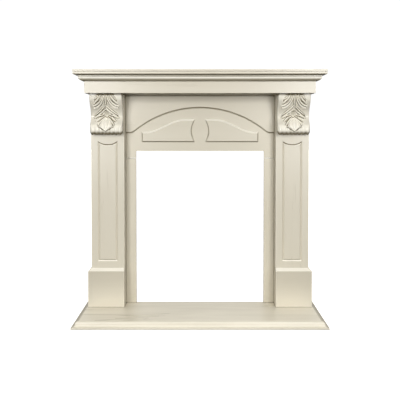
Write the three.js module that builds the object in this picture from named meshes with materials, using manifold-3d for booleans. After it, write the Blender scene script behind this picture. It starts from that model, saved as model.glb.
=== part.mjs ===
// Fireplace mantelpiece: a chimneypiece of ivory painted board with carved corbels, standing on a moulded
// hearth. Millimetres, +Z up. The front faces -Y, the wall is at +Y, and the origin is on the floor under the
// middle.
import * as THREE from "three";
import { mergeVertices } from "three/addons/utils/BufferGeometryUtils.js";
import Module from "manifold-3d";

const wasm = await Module();
wasm.setup();

// Driving dimensions: depth of the whole piece, front to back
const HEARTH_FRONT = -200;
const WALL = 200;

// Hearth board, with a notch at the back where the fire insert stands on the floor
const HEARTH_HALF_WIDTH = 481;
const HEARTH_HEIGHT = 25;
const HEARTH_EDGE = 25;
const HEARTH_FILLET = 6;
const HEARTH_QUIRK = 3;
const HEARTH_OGEE_TURN = 14.5;
const NOTCH_HALF_WIDTH = 290;

// Pilaster boxes, each a front board and two side boards, open at the back
const PILASTER_INNER = 305.5;
const PILASTER_OUTER = 438.5;
const PILASTER_FACE = 4;
const FRONT_BOARD = 18;
const SIDE_BOARD = 16;
const PILASTER_TOP = 883;

// Routed panel line on a pilaster
const PANEL_WIDTH = 71;
const PANEL_BOTTOM = 214;
const PANEL_TOP_ENDS = 688;
const PANEL_TOP_MIDDLE = 678.5;
const PANEL_SAG_POWER = 2.4;
const GROOVE_WIDTH = 8.5;
const GROOVE_FLOOR = 1;
const GROOVE_DEPTH = 3.4;

// Plinths: bevelled skirting on the front and the outer side
const PLINTH_THICKNESS = 12.5;
const PLINTH_SHOULDER = 171;
const PLINTH_TOP = 182.5;
const PLINTH_LIP = 0.5;

// Header panel and jambs round the opening
const HEADER_FLOOR = 55;
const HEADER_STEP = 7;
const HEADER_BACK = 70;
const OPENING_HALF_WIDTH = 263;
const OPENING_TOP = 653;
const LEG_BOTTOM = 625;
const SEAM = 1.4;
const ARCH_APEX = 835;
const ARCH_RADIUS = 428;
const ARCH_SHOULDER = 732.5;
const ARCH_ARC_END = 265;
const ARCH_SHOULDER_START = 286;
const ARCH_BEVEL = 5.6;
const MILL_OVERRUN = 10;

// Raised wings on the header, as distances from the middle and heights. The top of each wing's flat crown
// sits a little low, so that its upper bevel is wider than the others.
const WING_BOTTOM = 691;
const WING_TOP = 785;
const WING_END_TOP = 733;
const WING_END = 239.5;
const WING_OGEE_START = 225;
const WING_CREST = 65;
const WING_TIP = 21;
const WING_WAIST = 34;
const WING_BEVEL = 4.2;
const WING_LEAN = 3.8;

// Entablature and shelf
const FRIEZE_FRONT = -78;
const FRIEZE_HALF_WIDTH = 449;
const FRIEZE_BOARD = 18;
const FRIEZE_TOP = 929;
const SOFFIT_BOARD = 16;
const BED_TOP = 952;
const BED_COVE_TOP_OUT = 25;
const BED_COVE_FOOT_OUT = 17;
const BED_COVE_HEIGHT = 2.4;
const BED_FILLET_OUT = 21.5;
const BED_FILLET_HEIGHT = 3.6;
const BED_QUIRK_OUT = 18.5;
const BED_QUIRK_HEIGHT = 1.8;
const BED_OVOLO_OUT = 20.5;
const BED_OVOLO_WIDTH = 19;
const MITRE_GAP = 0.15;
const SHELF_HALF_WIDTH = 487;
const SHELF_FRONT = -117;
const SHELF_TOP = 972;
const SHELF_FILLET = 8;
const SHELF_QUIRK_HEIGHT = 1.6;
const SHELF_QUIRK_DEPTH = 2.2;
const SHELF_OVOLO_SETBACK = 0.6;
const SHELF_OVOLO_WIDTH = 6;
const SHELF_OVOLO_HEIGHT = 5;
const SHELF_ARRIS = 1;

// Corbels: an S-shaped bracket, given by how far it stands out from the pilaster at each drop below its top.
// The two pulls say how long the S keeps its direction at either end, as shares of the drop to its waist.
const CORBEL_HALF_WIDTH = 63.5;
const CORBEL_HEIGHT = 163;
const CORBEL_TOP_OUT = 56;
const CORBEL_TOP_PULL = 0.5;
const CORBEL_WAIST_OUT = 15;
const CORBEL_WAIST_DROP = 90;
const CORBEL_WAIST_PULL = 0.38;
const CORBEL_ROLL_RADIUS = 22;
const CORBEL_ROLL_OUT = 46;
const CORBEL_ROWS = 36;

// Acanthus leaf on a corbel. A rib runs from its root near the stem to its tip, both given as [across, down].
// The first and last rib of each tier are stated, and those between are spread evenly. A rib's bend lies a
// share of the way across and some millimetres below its tip.
const LEAF_TIERS = [
  { ribs: 2, roots: [[20, -8], [14, -8]], tips: [[41, 21], [45, 34]], bend: [0.3, -12], widths: [6, 7] },
  { ribs: 2, roots: [[9, -8], [4, -8]], tips: [[51, 45], [47, 53]], bend: [0.11, -5], widths: [6.2, 8.4] },
  { ribs: 2, roots: [[0, 42], [0, 56]], tips: [[47, 84], [48, 95]], bend: [0.34, -24], widths: [5, 7.6] },
  { ribs: 3, roots: [[12, 82], [4, 92]], tips: [[46, 98], [31, 125]], bend: [0.6, -14], widths: [7.4, 8.4] },
];

// A rib stands on a low plate. It is narrow at both ends, swells towards its tip and stands highest there;
// these are shares of its stated width and rise. The tip runs on into the ground.
const RIB_STEPS = 6;
const RIB_RISE = 5.2;
const RIB_END_WIDTH = 0.55;
const RIB_SWELL = 0.5;
const RIB_SWELL_POWER = 1.5;
const RIB_ROOT_RISE = 0.6;
const RIB_TIP_GAIN = 0.5;
const RIB_TIP_RUN = 0.9;
const RIB_SECTION = [-1.6, -1.25, -0.6, 0, 0.6, 1.25, 1.6];
const LEAF_PLATE = 3.2;
const LEAF_SINK = 2.5;
const TAPERED_END = 0.2;

// The leaf's stem, and the pointed lobe with a drop-shaped boss at its foot
const STEM_TOP = -8;
const STEM_LENGTH = 46;
const STEM_TOP_HALF_WIDTH = 4.2;
const STEM_FOOT_HALF_WIDTH = 2.6;
const LOBE_STEPS = 10;
const LOBE_TOP = 98;
const LOBE_SHOULDER = 131;
const LOBE_TIP = 151;
const LOBE_HALF_WIDTH = 26;
const LOBE_RISE = 6.6;
const LOBE_SECTION = [-1, -0.93, -0.82, -0.64, -0.3, 0, 0.3, 0.64, 0.82, 0.93, 1];
const LOBE_RIM = 0.82;
const LOBE_RIM_HALF_WIDTH = 0.16;
const LOBE_RIM_RISE = 2.4;
const BOSS_DROP = 123;
const BOSS_RADII = [8, 18];
const BOSS_RISE = 4.2;

const IVORY = 0xded7c4;
const CURVE_STEPS = 8;
const FACE_ALLOWANCE = 1;

const mantelpiece = new THREE.Group();

function addPiece(group, name, geometry) {
  const material = new THREE.MeshStandardMaterial({ color: IVORY, roughness: 0.5, metalness: 0 });
  const piece = new THREE.Mesh(geometry, material);
  piece.name = name;
  group.add(piece);
}

function board(x0, x1, y0, y1, z0, z1) {
  const geometry = new THREE.BoxGeometry(x1 - x0, y1 - y0, z1 - z0);
  return geometry.translate((x0 + x1) / 2, (y0 + y1) / 2, (z0 + z1) / 2);
}

// A closed geometry from points and triangles, turned so that its faces point out.
function closedGeometry(points, triangles) {
  let volume = 0;
  for (const [a, b, c] of triangles) {
    volume += points[a].dot(points[b].clone().cross(points[c]));
  }
  const index = triangles.flatMap(([a, b, c]) => (volume < 0 ? [a, c, b] : [a, b, c]));
  const geometry = new THREE.BufferGeometry().setFromPoints(points);
  geometry.setIndex(index);
  geometry.computeVertexNormals();
  return geometry;
}

// Joins rings of points into a closed solid. Each ring has as many points as the flat outline, which says how
// the two end caps are cut into triangles.
function loft(rings, outline) {
  const count = outline.length;
  const points = rings.flat();
  const triangles = [];
  for (let ring = 0; ring + 1 < rings.length; ring++) {
    for (let i = 0; i < count; i++) {
      const a = ring * count + i;
      const b = ring * count + ((i + 1) % count);
      triangles.push([a, b, b + count], [a, b + count, a + count]);
    }
  }
  const last = (rings.length - 1) * count;
  const turn = THREE.ShapeUtils.area(outline) < 0;
  for (const [a, b, c] of THREE.ShapeUtils.triangulateShape(outline, [])) {
    const near = turn ? [a, b, c] : [a, c, b];
    triangles.push(near, near.map((i) => last + i).reverse());
  }
  return closedGeometry(points, triangles);
}

function solidOf(geometry) {
  const bare = geometry.clone();
  bare.deleteAttribute("normal");
  bare.deleteAttribute("uv");
  const merged = mergeVertices(bare, 1e-4);
  const vertProperties = new Float32Array(merged.attributes.position.array);
  const triVerts = new Uint32Array(merged.index.array);
  return new wasm.Manifold(new wasm.Mesh({ numProp: 3, vertProperties, triVerts }));
}

function geometryOf(solid) {
  const { vertProperties, triVerts } = solid.getMesh();
  const geometry = new THREE.BufferGeometry();
  geometry.setAttribute("position", new THREE.BufferAttribute(vertProperties, 3));
  geometry.setIndex(new THREE.BufferAttribute(triVerts, 1));
  geometry.computeVertexNormals();
  return geometry;
}

// Points of a quarter ellipse from one end to the other. The corner is the meeting point of its end tangents.
function quarterRound(from, corner, to) {
  const centre = from.clone().add(to).sub(corner);
  const points = [];
  for (let i = 0; i <= CURVE_STEPS; i++) {
    const angle = ((Math.PI / 2) * i) / CURVE_STEPS;
    const first = from.clone().sub(centre).multiplyScalar(Math.cos(angle));
    const second = to.clone().sub(centre).multiplyScalar(Math.sin(angle));
    points.push(centre.clone().add(first).add(second));
  }
  return points;
}

// An outline moved in (or out, for a negative distance) by the same distance on every side.
function inset(outline, distance) {
  const count = outline.length;
  const side = THREE.ShapeUtils.area(outline) > 0 ? 1 : -1;
  const inward = outline.map((point, i) => {
    const edge = outline[(i + 1) % count].clone().sub(point).normalize();
    return new THREE.Vector2(-edge.y, edge.x).multiplyScalar(side);
  });
  return outline.map((point, i) => {
    const before = inward[(i + count - 1) % count];
    const after = inward[i];
    const mitre = before.clone().add(after);
    return point.clone().addScaledVector(mitre, distance / (1 + before.dot(after)));
  });
}

// A solid between outlines that stand at different depths: each step is [outline in x and z, y].
function reliefSolid(steps) {
  const rings = steps.map(([outline, y]) => outline.map((point) => new THREE.Vector3(point.x, y, point.y)));
  return solidOf(loft(rings, steps[0][0]));
}

// A level board with the same moulding on its front and both ends, as a stack of plan outlines. Each profile
// point is (inset from the widest outline, height).
function mouldedBoard(profile, plan) {
  const rings = profile.map(({ x, y }) => plan(x).map((corner) => new THREE.Vector3(corner.x, corner.y, y)));
  return loft(rings, plan(profile[0].x));
}

function hearth() {
  const middle = (HEARTH_FILLET + HEARTH_HEIGHT) / 2;
  const profile = [
    new THREE.Vector2(0, 0),
    new THREE.Vector2(0, HEARTH_FILLET),
    ...quarterRound(
      new THREE.Vector2(HEARTH_QUIRK, HEARTH_FILLET),
      new THREE.Vector2(HEARTH_OGEE_TURN, HEARTH_FILLET),
      new THREE.Vector2(HEARTH_OGEE_TURN, middle),
    ),
    ...quarterRound(
      new THREE.Vector2(HEARTH_OGEE_TURN, middle),
      new THREE.Vector2(HEARTH_OGEE_TURN, HEARTH_HEIGHT),
      new THREE.Vector2(HEARTH_EDGE, HEARTH_HEIGHT),
    ).slice(1),
  ];
  const plan = (edge) => {
    const side = HEARTH_HALF_WIDTH - edge;
    const front = HEARTH_FRONT + edge;
    return [
      new THREE.Vector2(-side, front),
      new THREE.Vector2(side, front),
      new THREE.Vector2(side, WALL),
      new THREE.Vector2(NOTCH_HALF_WIDTH, WALL),
      new THREE.Vector2(NOTCH_HALF_WIDTH, HEADER_BACK),
      new THREE.Vector2(-NOTCH_HALF_WIDTH, HEADER_BACK),
      new THREE.Vector2(-NOTCH_HALF_WIDTH, WALL),
      new THREE.Vector2(-side, WALL),
    ];
  };
  return mouldedBoard(profile, plan);
}

function mantelShelf() {
  const filletFoot = SHELF_TOP - SHELF_FILLET;
  const quirkFoot = filletFoot - SHELF_QUIRK_HEIGHT;
  const profile = [
    ...quarterRound(
      new THREE.Vector2(SHELF_OVOLO_SETBACK + SHELF_OVOLO_WIDTH, BED_TOP),
      new THREE.Vector2(SHELF_OVOLO_SETBACK, BED_TOP),
      new THREE.Vector2(SHELF_OVOLO_SETBACK, BED_TOP + SHELF_OVOLO_HEIGHT),
    ),
    new THREE.Vector2(SHELF_OVOLO_SETBACK, quirkFoot),
    new THREE.Vector2(SHELF_QUIRK_DEPTH, quirkFoot),
    new THREE.Vector2(SHELF_QUIRK_DEPTH, filletFoot),
    new THREE.Vector2(0, filletFoot),
    new THREE.Vector2(0, SHELF_TOP - SHELF_ARRIS),
    new THREE.Vector2(SHELF_ARRIS, SHELF_TOP),
  ];
  const plan = (edge) => {
    const side = SHELF_HALF_WIDTH - edge;
    const front = SHELF_FRONT + edge;
    return [
      new THREE.Vector2(-side, front),
      new THREE.Vector2(side, front),
      new THREE.Vector2(side, WALL),
      new THREE.Vector2(-side, WALL),
    ];
  };
  return mouldedBoard(profile, plan);
}

// Section of the bed moulding: x is the distance out from the frieze's face, y the height.
function bedSection() {
  const coveFoot = BED_TOP - BED_COVE_HEIGHT;
  const filletFoot = coveFoot - BED_FILLET_HEIGHT;
  const quirkFoot = filletFoot - BED_QUIRK_HEIGHT;
  return [
    new THREE.Vector2(-FRIEZE_BOARD, FRIEZE_TOP),
    ...quarterRound(
      new THREE.Vector2(BED_OVOLO_OUT - BED_OVOLO_WIDTH, FRIEZE_TOP),
      new THREE.Vector2(BED_OVOLO_OUT, FRIEZE_TOP),
      new THREE.Vector2(BED_OVOLO_OUT, quirkFoot),
    ),
    new THREE.Vector2(BED_QUIRK_OUT, quirkFoot),
    new THREE.Vector2(BED_QUIRK_OUT, filletFoot),
    new THREE.Vector2(BED_FILLET_OUT, filletFoot),
    new THREE.Vector2(BED_FILLET_OUT, coveFoot),
    ...quarterRound(
      new THREE.Vector2(BED_COVE_FOOT_OUT, coveFoot),
      new THREE.Vector2(BED_COVE_FOOT_OUT, BED_TOP),
      new THREE.Vector2(BED_COVE_TOP_OUT, BED_TOP),
    ),
    new THREE.Vector2(-FRIEZE_BOARD, BED_TOP),
  ];
}

function bedMouldingFront() {
  const section = bedSection();
  const ring = (side) =>
    section.map(
      ({ x, y }) => new THREE.Vector3(side * (FRIEZE_HALF_WIDTH + x - MITRE_GAP), FRIEZE_FRONT - x, y),
    );
  return loft([ring(-1), ring(1)], section);
}

function bedMouldingEnd() {
  const section = bedSection();
  const mitred = section.map(
    ({ x, y }) => new THREE.Vector3(FRIEZE_HALF_WIDTH + x, FRIEZE_FRONT - x + MITRE_GAP, y),
  );
  const square = section.map(({ x, y }) => new THREE.Vector3(FRIEZE_HALF_WIDTH + x, WALL, y));
  return loft([mitred, square], section);
}

// Skirting with a bevelled top, as an L in plan: along the pilaster's front and back along its outer side.
function plinth() {
  const plan = (thickness) => [
    new THREE.Vector2(PILASTER_INNER, PILASTER_FACE - thickness),
    new THREE.Vector2(PILASTER_OUTER + thickness, PILASTER_FACE - thickness),
    new THREE.Vector2(PILASTER_OUTER + thickness, WALL),
    new THREE.Vector2(PILASTER_OUTER, WALL),
    new THREE.Vector2(PILASTER_OUTER, PILASTER_FACE),
    new THREE.Vector2(PILASTER_INNER, PILASTER_FACE),
  ];
  const levels = [
    [HEARTH_HEIGHT, PLINTH_THICKNESS],
    [PLINTH_SHOULDER, PLINTH_THICKNESS],
    [PLINTH_TOP, PLINTH_LIP],
  ];
  const rings = levels.map(([height, thickness]) =>
    plan(thickness).map((corner) => new THREE.Vector3(corner.x, corner.y, height)),
  );
  return loft(rings, plan(PLINTH_THICKNESS));
}

// Outline of the panel line on a pilaster: straight sides and foot, and a top that dips between its corners.
function panelOutline() {
  const middle = (PILASTER_INNER + PILASTER_OUTER) / 2;
  const left = middle - PANEL_WIDTH / 2;
  const right = middle + PANEL_WIDTH / 2;
  const outline = [new THREE.Vector2(left, PANEL_BOTTOM), new THREE.Vector2(right, PANEL_BOTTOM)];
  const topSteps = 2 * CURVE_STEPS;
  for (let i = 0; i <= topSteps; i++) {
    const across = i / topSteps;
    const sag = (PANEL_TOP_ENDS - PANEL_TOP_MIDDLE) * (1 - Math.abs(2 * across - 1) ** PANEL_SAG_POWER);
    outline.push(new THREE.Vector2(right - PANEL_WIDTH * across, PANEL_TOP_ENDS - sag));
  }
  return outline;
}

function pilasterFront() {
  const back = PILASTER_FACE + FRONT_BOARD;
  const plain = solidOf(
    board(PILASTER_INNER, PILASTER_OUTER, PILASTER_FACE, back, HEARTH_HEIGHT, PILASTER_TOP),
  );
  const line = panelOutline();
  const floor = PILASTER_FACE + GROOVE_DEPTH;
  const outer = inset(line, -GROOVE_WIDTH / 2);
  const recess = reliefSolid([
    [outer, PILASTER_FACE - FACE_ALLOWANCE],
    [outer, PILASTER_FACE],
    [inset(line, -GROOVE_FLOOR / 2), floor],
  ]);
  const foot = inset(line, GROOVE_FLOOR / 2);
  const field = reliefSolid([
    [inset(line, GROOVE_WIDTH / 2), PILASTER_FACE],
    [foot, floor],
    [foot, floor + FACE_ALLOWANCE],
  ]);
  return geometryOf(plain.subtract(recess).add(field));
}

// The line of the arch from end to end: a round arc between two short level shoulders, joined by reverse
// curves.
function archLine(reach) {
  const arcHeight = (x) => ARCH_APEX - ARCH_RADIUS + Math.sqrt(ARCH_RADIUS ** 2 - x ** 2);
  const end = new THREE.Vector2(ARCH_ARC_END, arcHeight(ARCH_ARC_END));
  const slope = ARCH_ARC_END / (end.y - ARCH_APEX + ARCH_RADIUS);
  const bend = new THREE.Vector2(ARCH_ARC_END + (end.y - ARCH_SHOULDER) / slope, ARCH_SHOULDER);
  const shoulder = new THREE.Vector2(ARCH_SHOULDER_START, ARCH_SHOULDER);
  const half = new THREE.QuadraticBezierCurve(end, bend, shoulder).getPoints(CURVE_STEPS);
  half.push(new THREE.Vector2(reach, ARCH_SHOULDER));
  const mirrored = half.map((point) => new THREE.Vector2(-point.x, point.y)).reverse();
  const arc = [];
  const arcSteps = 4 * CURVE_STEPS;
  for (let i = 1; i < arcSteps; i++) {
    const x = ARCH_ARC_END * ((2 * i) / arcSteps - 1);
    arc.push(new THREE.Vector2(x, arcHeight(x)));
  }
  return [...mirrored, ...arc, ...half];
}

// Outline of the right-hand wing: a level foot, a short outer end, an ogee top and a hollow inner end.
function wingOutline() {
  const outline = [
    new THREE.Vector2(WING_TIP, WING_BOTTOM),
    new THREE.Vector2(WING_END, WING_BOTTOM),
    new THREE.Vector2(WING_END, WING_END_TOP),
  ];
  const topSteps = 2 * CURVE_STEPS;
  for (let i = 0; i <= topSteps; i++) {
    const share = i / topSteps;
    const x = WING_OGEE_START + (WING_CREST - WING_OGEE_START) * share;
    const rise = THREE.MathUtils.smoothstep(share, 0, 1);
    outline.push(new THREE.Vector2(x, WING_END_TOP + (WING_TOP - WING_END_TOP) * rise));
  }
  const innerSteps = 2 * CURVE_STEPS;
  for (let i = 0; i < innerSteps; i++) {
    const share = i / innerSteps;
    const hollow = (WING_WAIST - WING_TIP) * Math.sin(Math.PI * share);
    outline.push(new THREE.Vector2(WING_TIP + hollow, WING_TOP + (WING_BOTTOM - WING_TOP) * share));
  }
  return outline;
}

function headerPanel() {
  const face = HEADER_FLOOR - HEADER_STEP;
  const plate = [
    new THREE.Vector2(-PILASTER_INNER, LEG_BOTTOM),
    new THREE.Vector2(-OPENING_HALF_WIDTH, LEG_BOTTOM),
    new THREE.Vector2(-OPENING_HALF_WIDTH, OPENING_TOP),
    new THREE.Vector2(OPENING_HALF_WIDTH, OPENING_TOP),
    new THREE.Vector2(OPENING_HALF_WIDTH, LEG_BOTTOM),
    new THREE.Vector2(PILASTER_INNER, LEG_BOTTOM),
    new THREE.Vector2(PILASTER_INNER, PILASTER_TOP),
    new THREE.Vector2(-PILASTER_INNER, PILASTER_TOP),
  ];
  let panel = reliefSolid([
    [plate, face],
    [plate, HEADER_BACK],
  ]);
  const reach = PILASTER_INNER + MILL_OVERRUN;
  const below = [
    new THREE.Vector2(reach, LEG_BOTTOM - MILL_OVERRUN),
    new THREE.Vector2(-reach, LEG_BOTTOM - MILL_OVERRUN),
  ];
  const line = archLine(reach);
  const region = [...line, ...below];
  const lowered = [...inset(region, ARCH_BEVEL).slice(0, line.length), ...below];
  lowered[0].x = -reach;
  lowered[line.length - 1].x = reach;
  const milled = reliefSolid([
    [region, face - FACE_ALLOWANCE],
    [region, face],
    [lowered, HEADER_FLOOR],
  ]);
  panel = panel.subtract(milled);
  const wing = wingOutline();
  const crown = inset(wing, WING_BEVEL).map(({ x, y }) => {
    const share = Math.min(1, (y - WING_BOTTOM) / (WING_END_TOP - WING_BOTTOM));
    return new THREE.Vector2(x, y - WING_LEAN * share);
  });
  const mirror = (outline) => outline.map((point) => new THREE.Vector2(-point.x, point.y));
  for (const turn of [(outline) => outline, mirror]) {
    const raised = reliefSolid([
      [turn(crown), face],
      [turn(wing), HEADER_FLOOR],
      [turn(wing), HEADER_FLOOR + FACE_ALLOWANCE],
    ]);
    panel = panel.add(raised);
  }
  return geometryOf(panel);
}

// The corbel's plain ground in section, from the top of its front down to the foot of its roll: x is how far
// it stands out and y the drop below its top.
function corbelProfile() {
  const rollDrop = CORBEL_HEIGHT - CORBEL_ROLL_RADIUS;
  const rollCentre = CORBEL_ROLL_OUT - CORBEL_ROLL_RADIUS;
  const join = CORBEL_ROLL_RADIUS * Math.SQRT1_2;
  const joinOut = rollCentre + join;
  const joinDrop = rollDrop - join;
  const front = new THREE.Path();
  front.moveTo(CORBEL_TOP_OUT, 0);
  front.bezierCurveTo(
    CORBEL_TOP_OUT, CORBEL_TOP_PULL * CORBEL_WAIST_DROP,
    CORBEL_WAIST_OUT, (1 - CORBEL_WAIST_PULL) * CORBEL_WAIST_DROP,
    CORBEL_WAIST_OUT, CORBEL_WAIST_DROP,
  );
  front.quadraticCurveTo(CORBEL_WAIST_OUT, joinDrop - (joinOut - CORBEL_WAIST_OUT), joinOut, joinDrop);
  front.absarc(rollCentre, rollDrop, CORBEL_ROLL_RADIUS, -Math.PI / 4, Math.PI / 2, false);
  return front.getSpacedPoints(CORBEL_ROWS);
}

function profileFacing(profile, i) {
  const before = profile[Math.max(0, i - 1)];
  const after = profile[Math.min(profile.length - 1, i + 1)];
  const along = after.clone().sub(before).normalize();
  return new THREE.Vector2(along.y, -along.x);
}

// A point at some height over the corbel's ground. The spot is (across, down) on the leaf.
function onGround(profile, spot, height) {
  let ground = new THREE.Vector2(CORBEL_TOP_OUT, spot.y);
  let facing = new THREE.Vector2(1, 0);
  if (spot.y > 0) {
    const after = profile.findIndex((point) => point.y >= spot.y);
    const [start, end] = [profile[after - 1], profile[after]];
    const share = (spot.y - start.y) / (end.y - start.y);
    ground = start.clone().lerp(end, share);
    facing = profileFacing(profile, after - 1).lerp(profileFacing(profile, after), share).normalize();
  }
  const carved = ground.addScaledVector(facing, height);
  return new THREE.Vector3(spot.x, -carved.x, -carved.y);
}

// A carved ridge. Each station has its place on the leaf, the direction of its width, and its section as
// points of (offset across the ridge, height over the ground). The side is 1 or -1 for a mirrored ridge.
function carvedRidge(profile, stations, side) {
  const rings = stations.map(({ place, turn, section }) =>
    section.map((point) => {
      const spot = place.clone().addScaledVector(turn, point.x);
      spot.x *= side;
      return onGround(profile, spot, point.y);
    }),
  );
  return solidOf(loft(rings, stations[0].section));
}

// Height of a rounded bead at a distance from its middle line, as a share of its full height
function bead(distance, halfWidth) {
  return Math.max(0, 1 - (distance / halfWidth) ** 2);
}

function ribSection(halfWidth, rise) {
  const skirt = RIB_SECTION.at(-1);
  return RIB_SECTION.map((share) => {
    const height = LEAF_PLATE * Math.sqrt(bead(share, skirt)) + rise * bead(share, 1);
    return new THREE.Vector2(share * halfWidth, Math.abs(share) < skirt ? height : -LEAF_SINK);
  });
}

// A small copy of a section, sunk into the ground, where a ridge runs out.
function taperedSection(section) {
  return section.map((point) => new THREE.Vector2(TAPERED_END * point.x, TAPERED_END * point.y - LEAF_SINK));
}

function spread(pair, share) {
  return new THREE.Vector2(...pair[0]).lerp(new THREE.Vector2(...pair[1]), share);
}

function ribStations(tier, share) {
  const root = spread(tier.roots, share);
  const tip = spread(tier.tips, share);
  const [across, below] = tier.bend;
  const bend = new THREE.Vector2(root.x + across * (tip.x - root.x), tip.y + below);
  const curve = new THREE.QuadraticBezierCurve(root, bend, tip);
  const fullHalfWidth = THREE.MathUtils.lerp(...tier.widths, share) / 2;
  const stations = [];
  for (let i = 0; i <= RIB_STEPS; i++) {
    const along = i / RIB_STEPS;
    const heading = curve.getTangent(along);
    const swell = RIB_SWELL * Math.sin(Math.PI * along ** RIB_SWELL_POWER);
    const rise = RIB_RISE * (RIB_ROOT_RISE + RIB_TIP_GAIN * along);
    stations.push({
      place: curve.getPoint(along),
      turn: new THREE.Vector2(-heading.y, heading.x),
      section: ribSection(fullHalfWidth * (RIB_END_WIDTH + swell), rise),
    });
  }
  const last = stations.at(-1);
  const runOut = tip.clone().addScaledVector(curve.getTangent(1), RIB_TIP_RUN * fullHalfWidth);
  stations.push({ place: runOut, turn: last.turn, section: taperedSection(last.section) });
  return stations;
}

function stemStations() {
  const turn = new THREE.Vector2(1, 0);
  const top = ribSection(STEM_TOP_HALF_WIDTH, RIB_RISE);
  const foot = ribSection(STEM_FOOT_HALF_WIDTH, RIB_RISE);
  const stations = [];
  for (let i = 0; i <= RIB_STEPS; i++) {
    const share = i / RIB_STEPS;
    const section = top.map((point, k) => point.clone().lerp(foot[k], share));
    const drop = THREE.MathUtils.lerp(STEM_TOP, STEM_LENGTH, share);
    stations.push({ place: new THREE.Vector2(0, drop), turn, section });
  }
  const runOut = new THREE.Vector2(0, STEM_LENGTH + STEM_FOOT_HALF_WIDTH);
  stations.push({ place: runOut, turn, section: taperedSection(foot) });
  return stations;
}

// The lobe is round at its top, widest at its shoulder and straight from there to its tip.
function lobeHalfWidth(drop) {
  const above = THREE.MathUtils.clamp((drop - LOBE_TOP) / (LOBE_SHOULDER - LOBE_TOP), 0, 1);
  const below = THREE.MathUtils.clamp((LOBE_TIP - drop) / (LOBE_TIP - LOBE_SHOULDER), 0, 1);
  return LOBE_HALF_WIDTH * Math.min(Math.sqrt(above), below);
}

function lobeSection(drop) {
  const halfWidth = lobeHalfWidth(drop);
  return LOBE_SECTION.map((share) => {
    const offset = share * halfWidth;
    const rim = LOBE_RIM_RISE * bead(Math.abs(share) - LOBE_RIM, LOBE_RIM_HALF_WIDTH);
    const boss = BOSS_RISE * bead(Math.hypot(offset / BOSS_RADII[0], (drop - BOSS_DROP) / BOSS_RADII[1]), 1);
    return new THREE.Vector2(offset, Math.abs(share) < 1 ? LOBE_RISE + rim + boss : -LEAF_SINK);
  });
}

function lobeStations() {
  const turn = new THREE.Vector2(1, 0);
  const stations = [];
  for (let i = 1; i < LOBE_STEPS; i++) {
    const drop = THREE.MathUtils.lerp(LOBE_TOP, LOBE_TIP, i / LOBE_STEPS);
    stations.push({ place: new THREE.Vector2(0, drop), turn, section: lobeSection(drop) });
  }
  const runOut = (drop, station) => ({
    place: new THREE.Vector2(0, drop),
    turn,
    section: taperedSection(station.section),
  });
  return [runOut(LOBE_TOP, stations[0]), ...stations, runOut(LOBE_TIP, stations.at(-1))];
}

// A carved corbel: a plain S-shaped block with the leaf's ridges added, cut off level with its top.
function corbel(middle) {
  const profile = corbelProfile();
  const outline = [...profile, new THREE.Vector2(0, CORBEL_HEIGHT), new THREE.Vector2(0, 0)];
  const end = (x) => outline.map((point) => new THREE.Vector3(x, -point.x, -point.y));
  let block = solidOf(loft([end(-CORBEL_HALF_WIDTH), end(CORBEL_HALF_WIDTH)], outline));
  for (const tier of LEAF_TIERS) {
    for (let i = 0; i < tier.ribs; i++) {
      const stations = ribStations(tier, i / (tier.ribs - 1));
      block = block.add(carvedRidge(profile, stations, 1)).add(carvedRidge(profile, stations, -1));
    }
  }
  block = block.add(carvedRidge(profile, stemStations(), 1)).add(carvedRidge(profile, lobeStations(), 1));
  const above = board(-CORBEL_HALF_WIDTH, CORBEL_HALF_WIDTH, -2 * CORBEL_TOP_OUT, 0, 0, CORBEL_HEIGHT);
  return geometryOf(block.subtract(solidOf(above))).translate(middle, PILASTER_FACE, PILASTER_TOP);
}

// One side of the surround, made for the right and mirrored for the left
function addSide(name, mirror) {
  const side = new THREE.Group();
  side.scale.x = mirror;
  mantelpiece.add(side);
  const boxBack = PILASTER_FACE + FRONT_BOARD;
  const innerFace = PILASTER_INNER + SIDE_BOARD;
  const outerFace = PILASTER_OUTER - SIDE_BOARD;
  const friezeEnd = FRIEZE_HALF_WIDTH - FRIEZE_BOARD;
  const friezeBack = FRIEZE_FRONT + FRIEZE_BOARD;
  addPiece(side, `plinth_${name}`, plinth());
  addPiece(side, `pilaster_front_${name}`, pilasterFront());
  addPiece(
    side,
    `pilaster_inner_side_${name}`,
    board(PILASTER_INNER, innerFace, boxBack, WALL, HEARTH_HEIGHT, PILASTER_TOP),
  );
  addPiece(
    side,
    `pilaster_outer_side_${name}`,
    board(outerFace, PILASTER_OUTER, boxBack, WALL, HEARTH_HEIGHT, PILASTER_TOP),
  );
  addPiece(side, `corbel_${name}`, corbel((PILASTER_INNER + PILASTER_OUTER) / 2));
  addPiece(
    side,
    `jamb_${name}`,
    board(OPENING_HALF_WIDTH, PILASTER_INNER, HEADER_FLOOR, HEADER_BACK, HEARTH_HEIGHT, LEG_BOTTOM - SEAM),
  );
  addPiece(
    side,
    `frieze_end_${name}`,
    board(friezeEnd, FRIEZE_HALF_WIDTH, friezeBack, WALL, PILASTER_TOP, FRIEZE_TOP),
  );
  addPiece(side, `bed_moulding_${name}`, bedMouldingEnd());
}

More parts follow.
